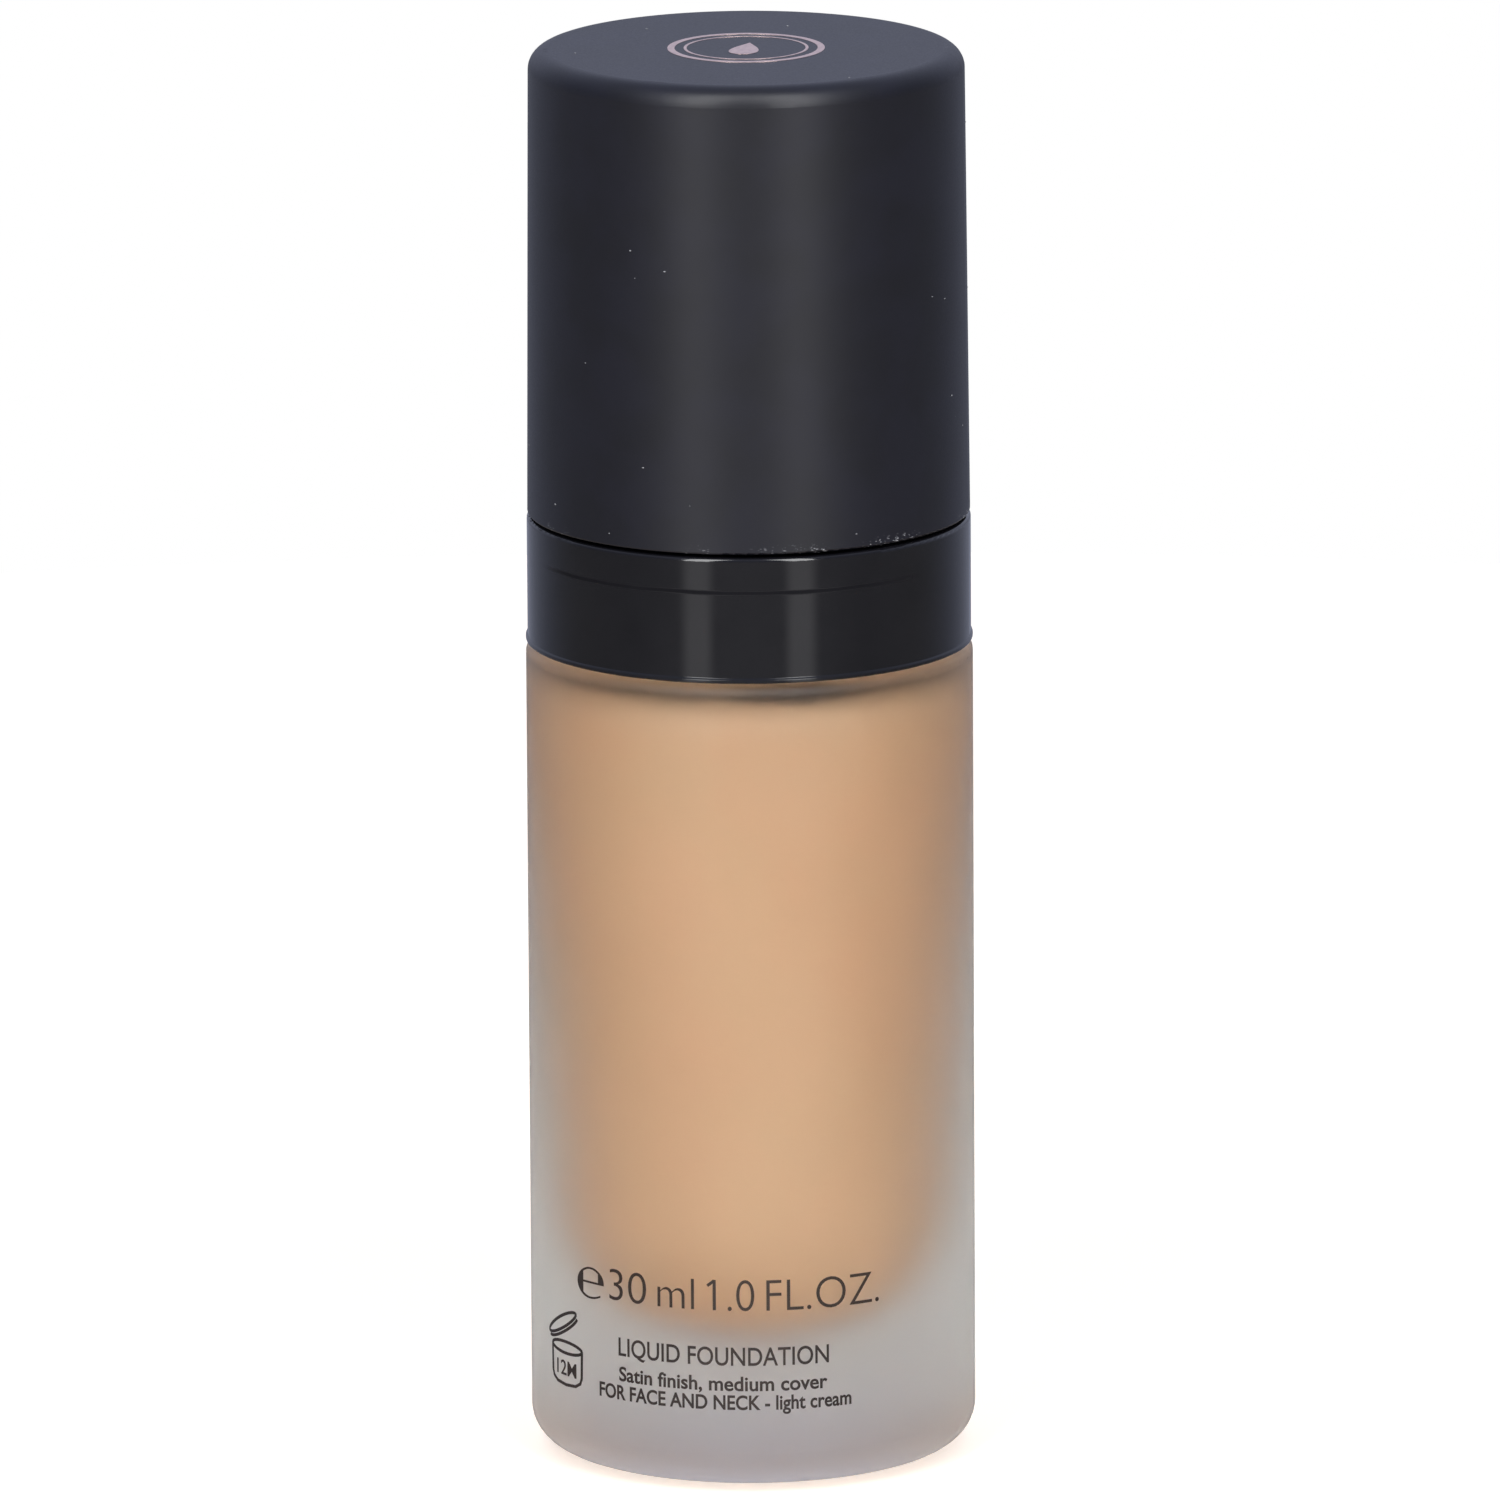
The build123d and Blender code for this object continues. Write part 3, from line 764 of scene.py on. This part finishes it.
def make_emblem_drop():
    """A solid drop in the middle of the ring."""
    bm = bmesh.new()
    outline = []
    steps = 48
    fullness, half_length, shift = 1.75 * MM, 2.6 * MM, 0.35 * MM
    for i in range(steps):
        t = 2 * math.pi * i / steps
        across = fullness * math.sin(t) * math.sin(t / 2) ** 1.4
        outline.append((across, half_length * math.cos(t) - shift))
    low = foil_level - FOIL_HEIGHT / 2
    bottom = [bm.verts.new((x, y, low)) for x, y in outline]
    bm.faces.new(bottom)
    raised = bmesh.ops.extrude_face_region(bm, geom=bm.faces[:])
    for vertex in (g for g in raised["geom"] if isinstance(g, bmesh.types.BMVert)):
        vertex.co.z += FOIL_HEIGHT
    bmesh.ops.triangulate(bm, faces=bm.faces[:])
    piece_from(bm, "emblem_drop", foil, "cap", smooth=False)


make_emblem_drop()


def cap_wall_patch():
    """The cap's outer wall and top as a thin open skin for the dust to settle on."""
    draft, top_edge, emblem_edge = 0.33 * MM, 2.1 * MM, 7 * MM
    profile = [
        (cap_high.x, cap_low.z + 0.5 * MM),
        (cap_high.x - draft, cap_high.z - 2 * MM),
        (cap_high.x - top_edge, cap_high.z),
        (emblem_edge, cap_high.z),
    ]
    bm = turned(lambda angle: profile, 48, closed=False)
    mesh = bpy.data.meshes.new("cap_dust")
    bm.to_mesh(mesh)
    bm.free()
    return mesh


grow(
    "cap_dust",
    dust_tree(),
    {"Density": 9000.0, "Seed": 11, "Smallest": 0.025 * MM, "Largest": 0.08 * MM},
    cap_wall_patch(),
    "cap",
)


def spring_tree():
    """A round wire swept along a coil: the return spring."""
    sizes = {
        "Turns": ("NodeSocketFloat", 6.0),
        "Coil": ("NodeSocketFloat", 0.002),
        "Rise": ("NodeSocketFloat", 0.0085),
        "Wire": ("NodeSocketFloat", 0.00025),
        "Foot": ("NodeSocketFloat", 0.0),
    }
    tree, given = start_tree("return_spring_coil", sizes, takes_mesh=False)
    coil = add_node(
        tree,
        "GeometryNodeCurveSpiral",
        {"Resolution": 48},
        {
            "Rotations": given[0],
            "Start Radius": given[1],
            "End Radius": given[1],
            "Height": given[2],
        },
    )
    section = add_node(
        tree, "GeometryNodeCurvePrimitiveCircle", {"Resolution": 14}, {"Radius": given[3]}
    )
    swept = add_node(
        tree,
        "GeometryNodeCurveToMesh",
        {"Fill Caps": True},
        {"Curve": coil.outputs[0], "Profile Curve": section.outputs[0]},
    )
    lift = add_node(tree, "ShaderNodeCombineXYZ", links={2: given[4]})
    moved = add_node(
        tree,
        "GeometryNodeTransform",
        links={"Geometry": swept.outputs[0], "Translation": lift.outputs[0]},
    )
    end_tree(tree, moved.outputs[0], wire)
    return tree


def make_spring():
    """The return spring at rest, a wire coiled to the CAD spring's size; the real one shortens
    as the stem goes down.
    """
    low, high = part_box("return_spring")
    thickness = 0.25 * MM
    spring = grow(
        "return_spring_coil",
        spring_tree(),
        {
            "Turns": 6.0,
            "Coil": high.x - thickness,
            "Rise": high.z - low.z - 2 * thickness,
            "Wire": thickness,
            "Foot": low.z + thickness,
        },
        bpy.data.meshes.new("return_spring_coil"),
        "pump",
        smooth=True,
    )
    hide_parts("return_spring")
    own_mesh(spring)


make_spring()


# Floor, lights and camera --------------------------------------------------------------


def make_floor():
    """A round pale table top; it looks white from the camera and lights the glass softly."""
    reach = 0.36
    bm = bmesh.new()
    bmesh.ops.create_circle(bm, cap_ends=True, segments=128, radius=reach)
    mesh = bpy.data.meshes.new("floor")
    bm.to_mesh(mesh)
    bm.free()
    floor = add_object("floor", mesh)
    # Uncoated card; it glows a little towards the camera, so that it looks white
    material, tree, shader, _ = start_material(
        "white_paper", Base_Color=linear("#e8dbc9"), Roughness=0.6
    )
    shader.inputs["Emission Color"].default_value = linear("#ffffff")
    camera_ray = add_node(tree, "ShaderNodeLightPath").outputs["Is Camera Ray"]
    lift = maths(tree, "MULTIPLY", camera_ray, 0.5)
    tree.links.new(lift, shader.inputs["Emission Strength"])
    mesh.materials.append(material)
    floor.visible_glossy = False


def softbox(name, turn, watts):
    """A tall soft light at an angle from the camera's side, aimed at the bottle."""
    distance, rise = 1.0, math.radians(33)
    target = Vector((0, 0, 0.07))
    light = bpy.data.lights.new(name, "AREA")
    light.shape = "RECTANGLE"
    light.size, light.size_y = 0.25, 1.25
    light.energy = watts
    box = add_object(name, light)
    angle = VIEW_TURN + turn
    away = distance * math.cos(rise)
    box.location = (
        away * math.sin(angle),
        -away * math.cos(angle),
        target.z + distance * math.sin(rise),
    )
    aim = target - box.location
    box.rotation_mode = "QUATERNION"
    box.rotation_quaternion = aim.to_track_quat("-Z", "Y")
    box.visible_camera = False


STRIP_PLACE = 0.44  # sideways share of the direction in which each bright strip stands
HORIZON = -0.02  # upward share of the direction where the ground begins


def make_surroundings():
    """A pale studio: white behind, cooler high up, dim in front, strips near the ground."""
    world = bpy.data.worlds.new("studio")
    bpy.context.scene.world = world
    world.use_nodes = True
    tree = world.node_tree
    background = tree.nodes["Background"]
    way = add_node(tree, "ShaderNodeTexCoord").outputs["Generated"]
    turned_way = add_node(
        tree,
        "ShaderNodeVectorRotate",
        {"rotation_type": "Z_AXIS", "Angle": -VIEW_TURN},
        {"Vector": way},
    ).outputs[0]
    axes = add_node(tree, "ShaderNodeSeparateXYZ", links={0: turned_way}).outputs
    behind = spread(tree, axes[1], 0.0, 1.0, 0.1, 0.95)
    upper = spread(tree, axes[2], 0.18, 0.46, -0.1, 0.2)
    overhead = spread(tree, axes[2], 0.22, 0.5, 0.2, 0.9)
    below = maths(tree, "LESS_THAN", axes[2], HORIZON)
    sideways = maths(tree, "ABSOLUTE", axes[0])
    off_strip = maths(tree, "ABSOLUTE", maths(tree, "SUBTRACT", sideways, STRIP_PLACE))
    in_front = maths(tree, "LESS_THAN", axes[1], 0.0)
    strip = maths(tree, "MULTIPLY", spread(tree, off_strip, 0.75, 0.0, 0.05, 0.16), in_front)
    near_ground = spread(tree, axes[1], 0.16, 0.0, -0.95, -0.4)
    ground = maths(tree, "MULTIPLY", maths(tree, "ADD", strip, near_ground), below)
    steep = spread(tree, axes[2], 1, 0, -0.5, -0.3)
    underfoot = maths(tree, "MULTIPLY", steep, 0.25)
    overhead = maths(tree, "ADD", overhead, underfoot)
    total = maths(tree, "ADD", maths(tree, "MULTIPLY", behind, upper), overhead)
    total = maths(tree, "ADD", total, ground)
    camera_ray = add_node(tree, "ShaderNodeLightPath").outputs["Is Camera Ray"]
    strength = add_node(tree, "ShaderNodeMix", {3: 1.0}, {0: camera_ray, 2: total})
    high_up = spread(tree, axes[2], 0, 1, -0.05, 0.1)
    far_back = spread(tree, axes[1], 0, 1, 0.0, 0.7)
    cool = maths(tree, "MAXIMUM", high_up, far_back)
    cool = maths(tree, "MULTIPLY", cool, maths(tree, "SUBTRACT", 1.0, steep))
    warm = blend_colours(tree, steep, "#f3f2f4", "#fff0e2")
    sky = blend_colours(tree, cool, warm, "#dce3ff")
    tint = blend_colours(tree, camera_ray, sky, "#ffffff")
    tree.links.new(tint, background.inputs[0])
    tree.links.new(strength.outputs[0], background.inputs[1])


def make_camera():
    """A long lens standing back from the bottle, a little above it."""
    distance, height = 1.66, 0.437
    target = Vector((0, 0, 0.06063))
    data = bpy.data.cameras.new("camera")
    data.lens = 480
    data.clip_start, data.clip_end = 0.05, 20
    camera = add_object("camera", data)
    camera.location = (
        distance * math.sin(VIEW_TURN),
        -distance * math.cos(VIEW_TURN),
        height,
    )
    camera.rotation_mode = "QUATERNION"
    look = (target - camera.location).to_track_quat("-Z", "Y")
    roll = Matrix.Rotation(math.radians(-0.32), 4, "Z").to_quaternion()
    camera.rotation_quaternion = look @ roll
    bpy.context.scene.camera = camera


make_floor()
for side, turn in (("left", -27), ("right", 27)):
    softbox("softbox_" + side, math.radians(turn), watts=8.3)
make_surroundings()
make_camera()
bpy.context.scene.view_settings.view_transform = "Standard"
